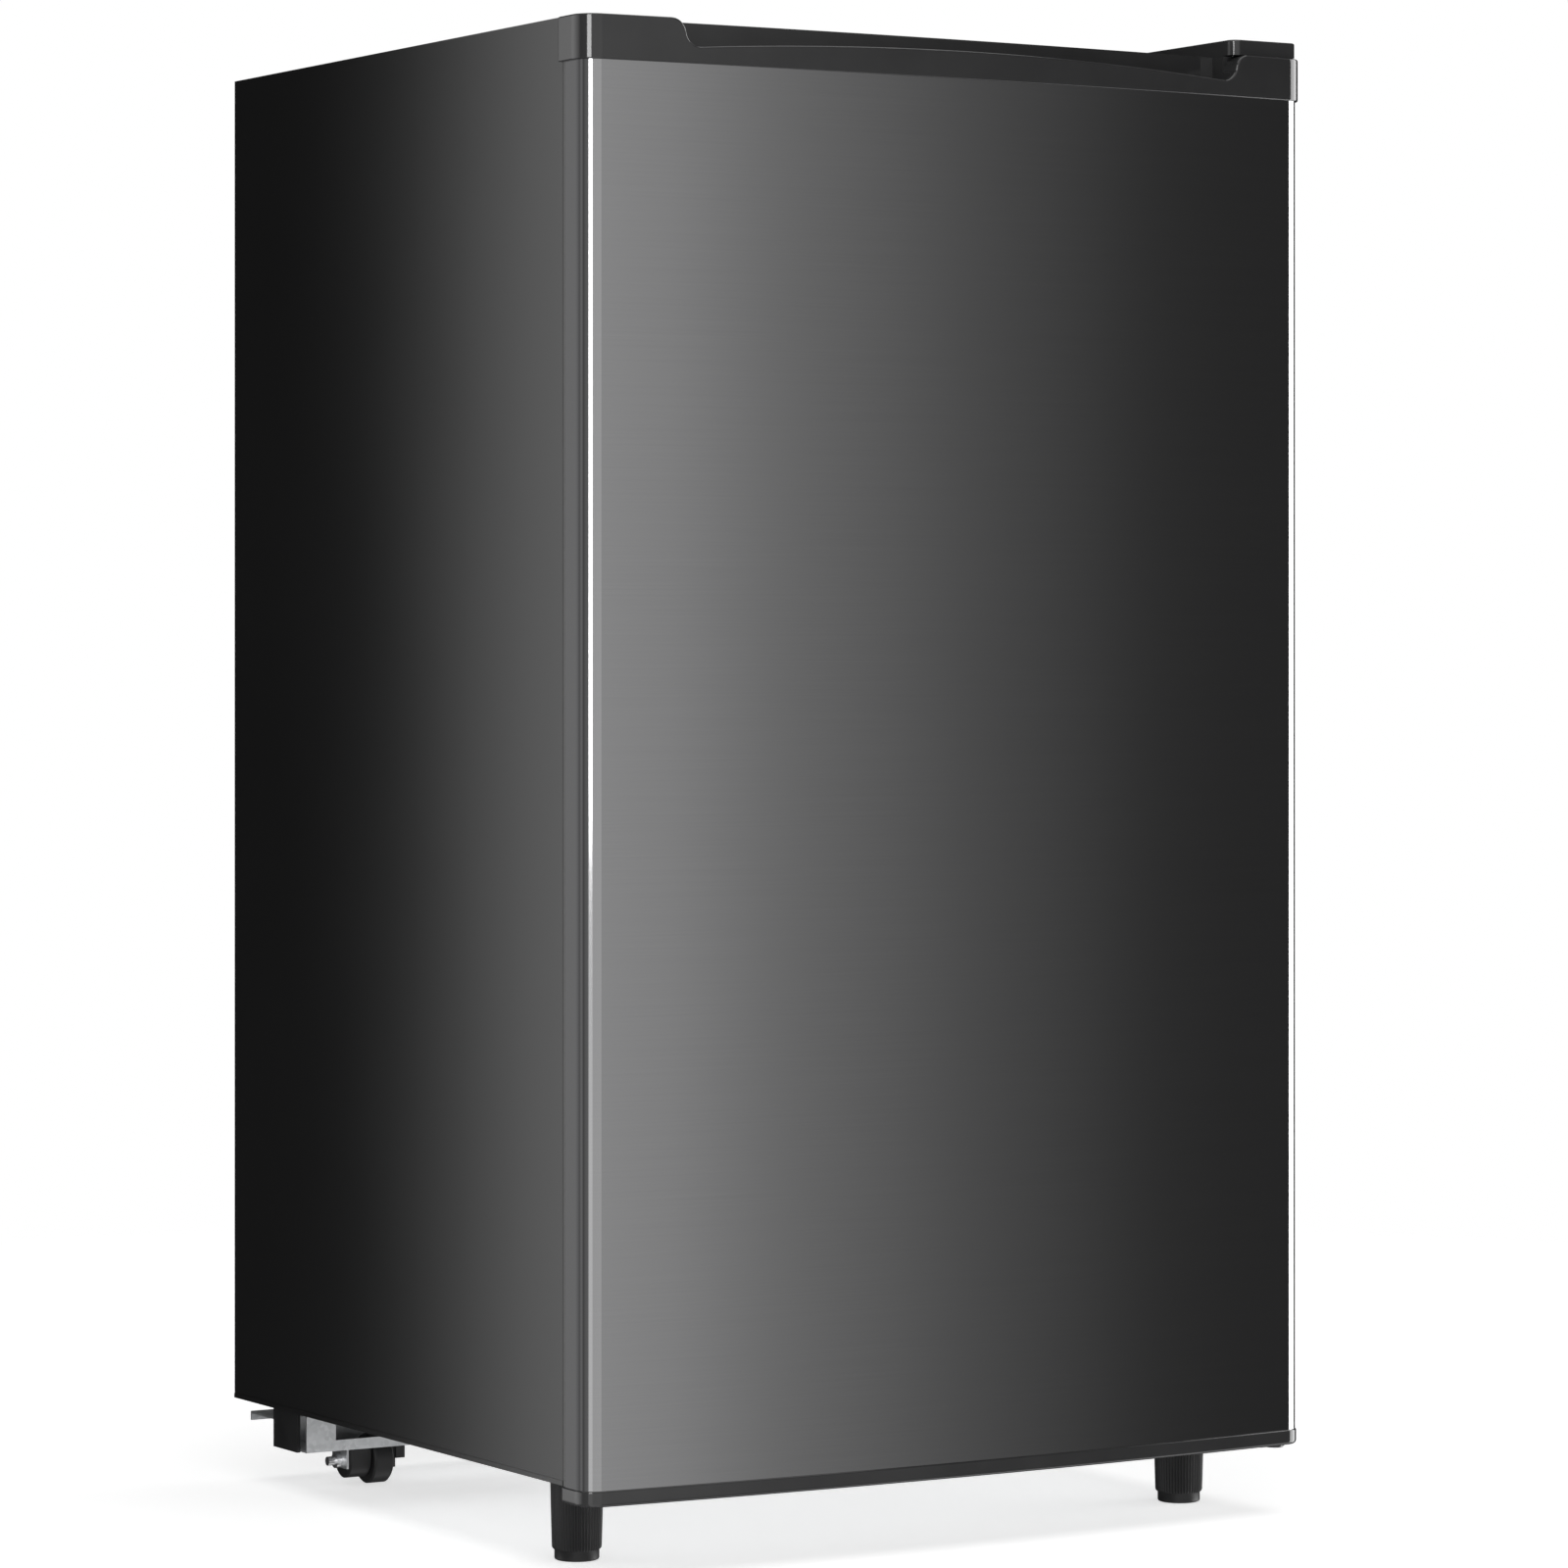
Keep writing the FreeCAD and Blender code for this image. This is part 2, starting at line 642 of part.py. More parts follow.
def rollers():
    """Rear rollers on axles between a steel cheek and a plastic housing under the beam."""
    cheeks, housings, axles = [], [], []
    half = "roller_wide / 2"
    for name, side in (("left_roller", "-1"), ("right_roller", "1")):
        wheel = turned(name, [
            ("axle_rad + running", f"-{half}"), ("roller_rad - 1", f"-{half}"),
            ("roller_rad", f"1 - {half}"), ("roller_rad", f"{half} - 1"),
            ("roller_rad - 1", half), ("axle_rad + running", half),
        ])
        wheel.Placement = Placement(Vector(), TURNS["x"])
        place(wheel, f"{side} * roller_x", "roller_y", "roller_rad")
        keep(wheel, name)

        def span(a, b):
            """X range between two distances from the middle, on this side."""
            return (f"-({b})", f"-({a})") if side == "-1" else (a, b)

        out = f"roller_x + {half}"
        inn = f"roller_x - {half}"
        deep = ("roller_y - 9", "roller_y + 9")
        cheek = f"{out} + cheek_off"
        plate = box(span(cheek, f"{cheek} + cheek_thick"), deep, ("roller_rad - 4", "beam_low"))
        ear = box(span(f"{out} + 4", f"{cheek} + cheek_thick"), deep, ("beam_low - cheek_thick", "beam_low"))
        bore = rod("axle_rad", "60", (f"{side} * roller_x - 30", "roller_y", "roller_rad"), "x")
        cheeks.append(cut(fuse(plate, ear), bore))
        wall = box(span(f"{inn} - 3.5", f"{inn} - 0.5"), ("roller_y - 8", "roller_y + 8"),
                   ("roller_rad - 5", "beam_low"))
        shoulder = box(span(f"{inn} - 9", f"{inn} - 3.5"), deep, ("beam_low - 8", "beam_low"))
        low_bore = rod("axle_rad", "60", (f"{side} * roller_x - 30", "roller_y", "roller_rad"), "x")
        housings.append(cut(fuse(wall, shoulder), low_bore))
        first, last = span(f"{inn} - 6", f"{cheek} + 9")
        axle = rod("axle_rad", f"({last}) - ({first})", (first, "roller_y", "roller_rad"), "x")
        nut_from, nut_to = span(f"{cheek} + cheek_thick", f"{cheek} + cheek_thick + 3")
        nut = rod("axle_rad + 1.7", f"({nut_to}) - ({nut_from})", (nut_from, "roller_y", "roller_rad"), "x")
        axles.append(fuse(axle, nut))
    keep(group(*cheeks), "roller_brackets")
    keep(group(*housings), "roller_housings")
    keep(group(*axles), "roller_axles")


def base_beam():
    """The folded beam under the compressor, its end caps and the compressor's plate."""
    sheet_in = "beam_low + beam_sheet"
    beam = along_x("beam", [
        ("beam_front", "beam_low"), ("beam_back", "beam_low"),
        ("beam_back", "beam_shelf - beam_sheet"), ("cab_back - beam_sheet", "beam_shelf - beam_sheet"),
        ("cab_back - beam_sheet", "beam_lip"), ("cab_back", "beam_lip"), ("cab_back", "beam_shelf"),
        ("beam_back - beam_sheet", "beam_shelf"), ("beam_back - beam_sheet", sheet_in),
        ("beam_front + beam_sheet", sheet_in), ("beam_front + beam_sheet", "beam_low + beam_wall"),
        ("beam_front", "beam_low + beam_wall"),
    ], "beam_half")
    tabs = [box(x, ("beam_front", "beam_front + beam_sheet"), ("beam_low + beam_wall", "cab_base"))
            for x in (("-beam_half", "beam_tab - beam_half"), ("beam_half - beam_tab", "beam_half"))]
    slots = []
    for side in ("-1", "1"):
        middle = f"{side} * roller_x"
        slots.append(box((f"{middle} - 7.5", f"{middle} + 7.5"),
                         ("roller_y - roller_rad - 1", "roller_y + roller_rad + 1"),
                         ("beam_low - 1", "beam_low + beam_wall")))
    nut_holes = mount_rods("bolt_rad + 2.7", "10", "beam_lip")
    keep(cut(fuse(beam, *tabs), *slots, *nut_holes), "compressor_base")
    ends = []
    for low, high in (("-beam_half - 2", "-beam_half"), ("beam_half", "beam_half + 2")):
        plate = box((low, high), ("beam_front + 8", "beam_back + 1"), ("beam_low - 0.5", "cab_base - 0.5"))
        ends.append(plate)
    keep(group(*ends), "base_end_caps")

    table = box(("comp_x - 95", "comp_x + 95"), ("bay_front + skin", "178"),
                ("beam_shelf", "beam_shelf + 2"))
    keep(cut(table, *mount_rods("bolt_rad + 0.2", "20", "beam_shelf - 5")), "compressor_plate")


# ---- cooling circuit --------------------------------------------------------------------

def mount_rods(radius, length, low):
    """A rod at each of the compressor's four fixings."""
    return [rod(radius, length, (f"comp_x + {dx} * mount_dx", f"comp_y + {dy} * mount_dy", low))
            for dx in ("-1", "1") for dy in ("-1", "1")]


def compressor():
    """Hermetic compressor on rubber mounts, with its relay cover and water tray."""
    table = "beam_shelf + 2"
    shell = turned("compressor_shell", [
        ("0", "comp_low"), ("comp_rad - 22", "comp_low", "22", 1), ("comp_rad", "comp_low + 22"),
        ("comp_rad", "comp_high - 34", "34", 1), ("comp_rad - 34", "comp_high"), ("0", "comp_high"),
    ])
    place(shell, "comp_x", "comp_y", "0")
    foot = rounded(box(("comp_x - mount_dx - 11", "comp_x + mount_dx + 11"),
                       ("comp_y - mount_dy - 11", "comp_y + mount_dy + 11"),
                       ("comp_low - 3", "comp_low")), "8", Z)
    pump = cut(fuse(shell, foot), *mount_rods("bolt_rad + 0.2", "20", "comp_low - 10"))
    keep(pump, "compressor")

    mounts = [cut(pair[0], pair[1]) for pair in
              zip(mount_rods("mount_rad", f"comp_low - 3 - ({table})", table),
                  mount_rods("bolt_rad + 0.2", "30", "beam_shelf"))]
    keep(group(*mounts), "compressor_mounts")
    bolts = [fuse(*trio) for trio in
             zip(mount_rods("bolt_rad", "comp_low + 2 - beam_shelf + 5", "beam_shelf - 5"),
                 mount_rods("bolt_rad + 2.5", "4", "comp_low"),
                 mount_rods("bolt_rad + 2.5", "5", "beam_shelf - 5"))]
    keep(group(*bolts), "compressor_bolts")

    cover = rounded(box(("comp_x + comp_rad - 6", "comp_x + comp_rad + 34"),
                        ("comp_y - 24", "comp_y + 24"), ("96", "150")), "4", X)
    body = rod("comp_rad", "120", ("comp_x", "comp_y", "60"))
    keep(cut(cover, body), "terminal_cover")

    tray = rounded(box(("comp_x - 62", "comp_x + 62"), ("comp_y - 52", "comp_y + 56"),
                       ("comp_high", "comp_high + 18")), "12", Z)
    well = rounded(box(("comp_x - 60", "comp_x + 60"), ("comp_y - 50", "comp_y + 54"),
                       ("comp_high + 2", "comp_high + 20")), "10", Z)
    keep(cut(tray, well), "water_tray")
    return pump


def circuit(pump):
    """Pipes between the compressor, the condenser on the back, the drier and the chiller."""
    left = value("comp_x - comp_rad")
    mid_y = value("comp_y")
    coil_y = value("coil_y")
    half = value("coil_half")
    pitch = value("coil_pitch")
    low = value("coil_low")
    passes = int(value("coil_passes"))
    high = low + (passes - 1) * pitch
    drier_x = half - 10
    drier_low, drier_tall = 118, 106
    riser_x = -half - 14
    joint_z = 190

    points = [(drier_x, coil_y, drier_low + drier_tall), (drier_x, coil_y, low)]
    for number in range(passes):
        near = -half - 2 if number % 2 == 0 else half + 2
        if number < passes - 1:
            points.append((near, coil_y, low + number * pitch))
            points.append((near, coil_y, low + (number + 1) * pitch))
    points += [(riser_x, coil_y, high), (riser_x, coil_y, joint_z)]
    keep(tube("condenser_tube", points, value("coil_rad"), 11), "condenser_tube")

    discharge = tube("discharge_tube", [
        (left + 4, mid_y + 12, 108), (left - 32, mid_y + 12, 108), (left - 32, mid_y + 12, 150),
        (riser_x, mid_y + 12, 150), (riser_x, coil_y, 150), (riser_x, coil_y, joint_z),
    ], value("coil_rad"), 9)
    keep(cut(discharge, pump), "discharge_tube")
    suction = tube("suction_tube", [
        (left + 4, mid_y - 12, 90), (left - 18, mid_y - 12, 90), (left - 18, mid_y - 12, 215),
        (left - 18, mid_y + 8, 215), (left - 18, mid_y + 8, value("bay_top - skin")),
    ], 3.2, 8)
    keep(cut(suction, pump), "suction_tube")

    drier = turned("filter_drier", [
        ("0", "0"), ("2.2", "0"), ("2.2", "8"), ("9", "20"), ("9", "84"), ("2.6", "98"),
        ("2.6", str(drier_tall)), ("0", str(drier_tall)),
    ])
    place(drier, str(drier_x), "coil_y", str(drier_low))
    keep(drier, "filter_drier")
    thin = tube("capillary_tube", [
        (drier_x, coil_y, drier_low), (drier_x, coil_y, 100), (drier_x - 22, coil_y, 100),
        (drier_x - 22, coil_y, 226), (drier_x - 22, 192, 226), (drier_x - 22, 192, 250),
        (drier_x - 22, value("cab_back"), 250),
    ], 1.0, 3)
    keep(thin, "capillary_tube")

    wires = []
    reach = value("coil_rad + wire_rad") + 0.05
    wire_low, wire_high = low - 12, high + 12
    count = int(2 * (half - 12) // value("wire_pitch"))
    for number in range(count + 1):
        x = (number - count / 2) * value("wire_pitch")
        for y in (coil_y - reach, coil_y + reach):
            wires.append(Part.makeCylinder(value("wire_rad"), wire_high - wire_low, Vector(x, y, wire_low)))
    lattice = doc.addObject("Part::Feature", "condenser_wires")
    lattice.Shape = Part.makeCompound(wires)
    keep(lattice, "condenser_wires")

    stands = []
    for side in ("-", "+"):
        for level in ("coil_low + coil_pitch", "coil_low + 11 * coil_pitch"):
            at = f"0 {side} clip_wires * wire_pitch"
            base = box((f"{at} - 8", f"{at} + 8"), ("cab_back", "cab_back + 3"),
                       (f"{level} - 14", f"{level} + 14"))
            post = box((f"{at} - clip_half", f"{at} + clip_half"), ("cab_back + 3", "rear_limit"),
                       (f"{level} - clip_tall", f"{level} + clip_tall"))
            hole = rod("coil_rad + 0.1", "2 * clip_half + 2", (f"{at} - clip_half - 1", "coil_y", level), "x")
            stands.append(cut(fuse(base, rounded(post, "3", Y)), hole))
    keep(group(*stands), "condenser_brackets")

    gland_at = ("120", "cab_back", "262")
    gland = fuse(rod("9", "2.5", gland_at, "y"), rod("6", "12", gland_at, "y"))
    keep(cut(gland, rod("3.4", "20", ("120", "cab_back + 4", "262"), "y")), "cord_inlet")


# ---- inside -----------------------------------------------------------------------------

def shelves():
    """Glass shelves on the liner's guides, with front and rear trims, and the drip tray."""
    across = ("-shelf_half", "shelf_half")
    trims = []
    for name, level in (("lower_shelf_glass", "low_shelf"), ("upper_shelf_glass", "high_shelf")):
        glass = box(across, ("shelf_front", "shelf_back"), (level, f"{level} + glass_thick"))
        keep(glass, name)
        for front, back in (("shelf_front - 5", "shelf_front + 6"), ("shelf_back - 6", "shelf_back + 4")):
            edge = box(("4 - room_half", "room_half - 4"), (front, back),
                       (f"{level} - 3", f"{level} + glass_thick + 2"))
            guides = [box((low, high), ("-200", "200"), (f"{level} - 5", f"{level} + 0.1"))
                      for low, high in (("-room_half", "ledge_deep + 0.5 - room_half"),
                                        ("room_half - ledge_deep - 0.5", "room_half"))]
            slot = box(across, ("shelf_front", "shelf_back"), (level, f"{level} + glass_thick"))
            trims.append(cut(rounded(edge, "2", X), slot, *guides))
    keep(group(*trims), "shelf_trims")
    tray = box(across, ("-74", "132"), ("tray_level", "tray_level + 18"))
    well = box(("2.5 - shelf_half", "shelf_half - 2.5"), ("-71.5", "129.5"),
               ("tray_level + 2.5", "tray_level + 30"))
    keep(cut(rounded(tray, "6", Z), rounded(well, "4", Z)), "drip_tray")


def chiller():
    """Aluminium chiller box, its plastic frame and the hinged flap in front."""
    across = ("-chill_half", "chill_half")
    skin_box = box(across, ("chill_front", "chill_back"), ("chill_low", "chill_high"))
    space = box(("chill_wall - chill_half", "chill_half - chill_wall"),
                ("chill_front - 1", "chill_back - chill_wall"),
                ("chill_low + chill_wall", "chill_high - chill_wall"))
    keep(cut(rounded(skin_box, "8", Y), rounded(space, "6", Y)), "evaporator")

    frame_y = ("chill_front - frame_deep", "chill_front")
    frame = ring(("-chill_half - 5", "chill_half + 5"), frame_y, ("chill_low - 5", "room_high"), "15", "13")
    bore = rod("flap_pin + running", "2 * flap_half + 16",
               ("-flap_half - 8", "flap_pin_y", "flap_pin_z"), "x")
    top_room = box(("-155", "155"), frame_y, ("flap_pin_z - 10", "flap_pin_z + 6"))
    keep(cut(frame, bore, top_room), "chiller_frame")

    leaf = rounded(box(("-flap_half", "flap_half"), ("flap_pin_y - 2", "flap_pin_y + 2"),
                       ("flap_low", "flap_pin_z + 2.5")), "8", Y, lambda p: p.z < 690)
    pins = rod("flap_pin", "2 * flap_half + 12", ("-flap_half - 6", "flap_pin_y", "flap_pin_z"), "x")
    pull = box(("-34", "34"), ("flap_pin_y - 7", "flap_pin_y - 2"), ("flap_low + 4", "flap_low + 8"))
    keep(fuse(leaf, pins, pull), "chiller_flap")


def controls():
    """Thermostat housing on the right wall, its dial, the lamp and the door's light switch."""
    case = rounded(box(("box_in", "room_half"), ("box_front", "box_back"), ("box_low", "box_high")),
                   "6", X)
    inner = box(("box_in + 2.5", "room_half - 2.5"), ("-72", "box_back - 4"), ("box_low + 4", "box_high - 4"))
    window = box(("box_in - 1", "box_in + 3"), ("-70", "box_back - 6"), ("box_low + 8", "box_high - 8"))
    shaft = rod("shaft_rad + running", "16", ("box_in - 1", "knob_y", "knob_z"), "x")
    keep(cut(case, inner, window, shaft), "thermostat_housing")
    keep(rounded(box(("box_in", "box_in + 2.5"), ("-70", "box_back - 6"), ("box_low + 8", "box_high - 8")),
                 "1", Z), "lamp_lens")
    board = box(("room_half - 4.5", "room_half - 2.5"), ("-68", "box_back - 6"),
                ("box_low + 10", "box_high - 10"))
    lamps = [rod("2.5", "2", ("room_half - 6.5", y, "knob_z"), "x") for y in ("-64", "-57", "-50")]
    keep(fuse(board, *lamps), "lamp_board")

    dial = rod("knob_rad", "10", ("box_in - gap - 10", "knob_y", "knob_z"), "x")
    grip = box(("box_in - gap - 14", "box_in - gap - 8"), ("knob_y - 3", "knob_y + 3"),
               ("knob_z - 15", "knob_z + 15"))
    stem = rod("shaft_rad", "14", ("box_in - gap - 1", "knob_y", "knob_z"), "x")
    keep(fuse(dial, rounded(grip, "2", X), stem), "thermostat_knob")

    plunger = rod("switch_rad", "16", ("switch_x", "door_back + 0.5", "switch_z"), "y")
    collar = rod("4", "3", ("switch_x", "cab_front + 10", "switch_z"), "y")
    keep(fuse(plunger, collar), "light_switch")


# ---- door -------------------------------------------------------------------------------

def on_skin(half, chord, soft):
    """A test for points on the front, front corners and sides of a bowed outline."""
    wide, bow, turn = value(half), value("door_bow"), value(soft)
    big = (wide ** 2 + bow ** 2) / (2 * bow)
    middle = value(chord) - bow + big
    corner_y = middle - ((big - turn) ** 2 - (wide - turn) ** 2) ** 0.5
    close = 0.02

    def test(p):
        front = abs(((p.y - middle) ** 2 + p.x ** 2) ** 0.5 - big) < close
        side = abs(abs(p.x) - wide) < close
        turned_from = ((abs(p.x) - (wide - turn)) ** 2 + (p.y - corner_y) ** 2) ** 0.5
        corner = p.y < corner_y + close and abs(turned_from - turn) < close
        return front or side or corner
    return test


def door_panel():
    """The steel front, wrapped round both sides."""
    body = new_body("door_panel")
    outer = new_sketch(body, "XY_Plane", "door_low")
    outline(outer, bowed("door_half", "panel_edge", "door_chord", "door_bow", "door_round", "0.3", "0.3"))
    pad(body, outer, "door_high - door_low")
    inner = new_sketch(body, "XY_Plane", "door_low")
    outline(inner, bowed("door_half - skin", "panel_edge + 5", "door_chord + skin", "door_bow",
                         "door_round - skin", "0.3", "0.3"))
    pocket(body, inner, "door_high - door_low", reverse=True)
    keep(body, "door_panel")


def door_filling():
    """Foam behind the panel, and the moulded liner with its rim and raised dyke."""
    body = new_body("door_foam")
    sketch = new_sketch(body, "XY_Plane", "door_low")
    outline(sketch, bowed("door_half - skin", "liner_deep", "door_chord + skin", "door_bow",
                          "door_round - skin", "0.3", "0.3"))
    pad(body, sketch, "door_high - door_low")
    keep(body, "door_foam")

    whole = ("-rim_half", "rim_half")
    tall = ("door_low", "door_high")
    base = box(whole, ("liner_deep", "liner_flat"), tall)
    rim = ring(whole, ("liner_deep", "door_back"), tall, "rim_half - rim_in", "2.5")
    lower = box(whole, ("liner_deep", "door_back"), ("door_low", "seal_low - 1"))
    dyke = ring(("-dyke_half", "dyke_half"), ("liner_deep", "dyke_back"), ("dyke_low", "dyke_high"),
                "dyke_wall", "dyke_wall")
    whole_liner = fuse(base, rim, lower)
    swept = rounded(whole_liner, "7", Z, lambda p: p.x > 219 and p.y > -202)
    soft = rounded(swept, "1.5", Z, lambda p: p.x < -219 and p.y > -202)
    keep(fuse(soft, rounded(dyke, "5", Z, lambda p: p.y > -182)), "door_liner")

    seal = ring(("-seal_half", "seal_half"), ("liner_flat", "seal_back"), ("seal_low", "seal_high"),
                "seal_wide", "seal_wide")
    keep(rounded(seal, "5", Y, lambda p: abs(p.x) > 190), "door_gasket")


def top_cap():
    """The top end cap: a scoop behind a low front lip, with S bends up to the full height."""
    body = new_body("top_cap_block")
    plan = new_sketch(body, "XY_Plane", "door_high")
    outline(plan, bowed("cap_half", "door_back", "door_chord - cap_proud", "door_bow", "door_round + 2",
                        "1.5", "10"))
    pad(body, plan, "cap_top - door_high")

    front = "door_chord - cap_proud - door_bow + grip_front"
    big = "(cap_half ^ 2 + door_bow ^ 2) / (2 * door_bow)"
    near, far = f"{big} - grip_front", f"{big} - grip_front - grip_wide"
    centre = f"{front} + {near}"

    def at(radius, end):
        """Where an arc of the scoop meets one of its end walls."""
        return f"{centre} - sqrt(({radius}) ^ 2 - ({end}) ^ 2)"

    left, right = "(grip_mid - grip_half)", "(grip_mid + grip_half)"
    scoop = new_sketch(body, "XY_Plane", "grip_floor")
    outline(scoop, [(left, at(near, left), near, 1), (right, at(near, right)),
                    (right, at(far, right), far, -1), (left, at(far, left))])
    pocket(body, scoop, "cap_top - grip_floor + 5", reverse=True)

    rise = "(cap_top - lip_end)"
    bend = f"(lip_run ^ 2 + {rise} ^ 2) / (4 * {rise})"
    arch = "(lip_half ^ 2 + (lip_mid - lip_end) ^ 2) / (2 * (lip_mid - lip_end))"
    middle_z = "(cap_top + lip_end) / 2"
    over = "cap_top + 5"

    def across(side, reach):
        return f"grip_mid {side} ({reach})"

    lip = new_sketch(body, "XZ_Plane", f"-({front} + grip_wide - 4)")
    outline(lip, [
        (across("-", "lip_half + lip_run"), "cap_top", bend, -1),
        (across("-", "lip_half + lip_run / 2"), middle_z, bend, 1),
        (across("-", "lip_half"), "lip_end", arch, -1), (across("+", "lip_half"), "lip_end", bend, 1),
        (across("+", "lip_half + lip_run / 2"), middle_z, bend, -1),
        (across("+", "lip_half + lip_run"), "cap_top"),
        (across("+", "lip_half + lip_run"), over), (across("-", "lip_half + lip_run"), over),
    ])
    pocket(body, lip, "60", reverse=True)

    bush = new_sketch(body, "XY_Plane", "door_high + 1.5")
    circle(bush, "pin_x", "pin_y", "bush_rad")
    pocket(body, bush, "40", reverse=True)

    skin = on_skin("cap_half", "door_chord - cap_proud", "door_round + 2")
    low, lip = value("door_high"), value("door_high + 3")
    under = softened(body, "cap_under", lambda p: abs(p.z - low) < 0.01 and skin(p))
    keep(softened(under, "cap_soft", lambda p: p.z > lip and skin(p)), "door_top_cap")


def circle(sketch, x, y, radius):
    """A circle tied to the sheet."""
    number = sketch.addGeometry(Part.Circle(Vector(value(x), value(y), 0), Z, value(radius)))
    for kind, text in (("DistanceX", x), ("DistanceY", y)):
        where = sketch.addConstraint(Sketcher.Constraint(kind, -1, 1, number, 3, value(text)))
        bind(sketch, f"Constraints[{where}]", text)
    where = sketch.addConstraint(Sketcher.Constraint("Radius", number, value(radius)))
    bind(sketch, f"Constraints[{where}]", radius)


def bottom_cap():
    """The bottom end cap, a little proud of the panel."""
    body = new_body("bottom_cap_block")
    plan = new_sketch(body, "XY_Plane", "foot_cap_low")
    outline(plan, bowed("foot_cap_half", "door_back", "door_chord - 0.6", "door_bow", "door_round + 0.5",
                        "3", "9"))
    pad(body, plan, "door_low - foot_cap_low")
    bush = new_sketch(body, "XY_Plane", "foot_cap_low")
    circle(bush, "pin_x", "pin_y", "bush_rad")
    pocket(body, bush, "40", reverse=True)

    skin = on_skin("foot_cap_half", "door_chord - 0.6", "door_round + 0.5")
    level = value("foot_cap_low")
    lower = softened(body, "foot_cap_soft", lambda p: abs(p.z - level) < 0.01 and skin(p))
    level_up = value("door_low")
    keep(softened(lower, "cap_soft", lambda p: abs(p.z - level_up) < 0.01 and skin(p)), "door_bottom_cap")


def bushes():
    """Plastic bushes that the two hinge pins turn in."""
    at = ("pin_x", "pin_y")
    bore = "pin_rad + running"
    upper = cut(rod("bush_rad", "cap_top - door_high - 1.5", (*at, "door_high + 1.5")),
                rod(bore, "40", (*at, "cap_top - 19")))
    lower = cut(rod("bush_rad", "door_low - foot_cap_low", (*at, "foot_cap_low")),
                rod(bore, "7.6", (*at, "foot_cap_low - 0.4")))
    keep(group(upper, lower), "door_hinge_bushes")


def racks():
    """Two racks on the door liner, each with a round bar in front."""
    bars = []
    inside = "dyke_half - dyke_wall"
    for name, low, high, back in (("lower_door_rack", "122", "196", "-108"),
                                  ("upper_door_rack", "470", "524", "-146")):
        outer = rounded(box((f"-({inside})", inside), ("liner_flat", back), (low, high)), "10", Z,
                        lambda p: p.y > -200)
        dent = rounded(box((f"rack_wall - ({inside})", f"{inside} - rack_wall"),
                           ("liner_flat + rack_wall", f"{back} - rack_wall"),
                           (f"{low} + rack_wall", f"{high} + 9")), "7.5", Z, lambda p: p.y > -200)
        arms = []
        for side in ("-1", "1"):
            near, far = f"{side} * ({inside})", f"{side} * ({inside} - rack_wall)"
            pair = (near, far) if side == "-1" else (far, near)
            arms.append(box(pair, ("liner_flat", f"{back} - 14"), (f"{high} - 1", f"{high} + 34")))
        keep(fuse(cut(outer, dent), *arms), name)
        bars.append(rod("2.2", f"2 * ({inside} - rack_wall)",
                        (f"rack_wall - ({inside})", f"{back} - 20", f"{high} + 27"), "x"))
    keep(group(*bars), "rack_bars")


def main():
    side_panels()
    top_and_bottom()
    rear_sheets()
    liner_and_foam()
    hinges()
    feet()
    rollers()
    base_beam()
    pump = compressor()
    circuit(pump)
    shelves()
    chiller()
    controls()
    door_panel()
    door_filling()
    top_cap()
    bottom_cap()
    bushes()
    racks()
    doc.recompute()
    faults = [f"{o.Name} ({o.Label}): {o.State}" for o in doc.Objects
              if {"Invalid", "Error"} & set(o.State)]
    for node in nodes:
        shape = node.Shape
        if shape.isNull() or not shape.isValid() or not shape.Solids:
            faults.append(f"{node.Label}: no valid solid")
    if faults:
        raise SystemExit("\n".join(faults))
    os.makedirs("parts", exist_ok=True)
    for node in nodes:
        node.Shape.exportStep(f"parts/{node.Label}.step")
    print(len(nodes), "sub-parts")


main()
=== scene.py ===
import json
import math

import bpy
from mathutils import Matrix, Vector


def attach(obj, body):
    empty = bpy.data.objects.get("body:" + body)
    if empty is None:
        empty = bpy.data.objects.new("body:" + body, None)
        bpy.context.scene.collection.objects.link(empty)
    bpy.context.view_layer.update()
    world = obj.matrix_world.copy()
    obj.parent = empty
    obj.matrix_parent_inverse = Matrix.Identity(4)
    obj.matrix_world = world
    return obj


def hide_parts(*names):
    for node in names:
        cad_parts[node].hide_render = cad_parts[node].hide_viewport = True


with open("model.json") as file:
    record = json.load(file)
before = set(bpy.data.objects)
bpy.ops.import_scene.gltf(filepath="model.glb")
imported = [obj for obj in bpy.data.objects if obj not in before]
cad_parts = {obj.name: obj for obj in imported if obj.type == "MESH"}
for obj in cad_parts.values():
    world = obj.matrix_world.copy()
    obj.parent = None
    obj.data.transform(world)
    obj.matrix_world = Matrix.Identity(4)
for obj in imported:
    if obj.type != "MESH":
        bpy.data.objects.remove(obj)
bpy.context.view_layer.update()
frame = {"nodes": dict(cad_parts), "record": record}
nodes = frame["nodes"]
record = frame["record"]


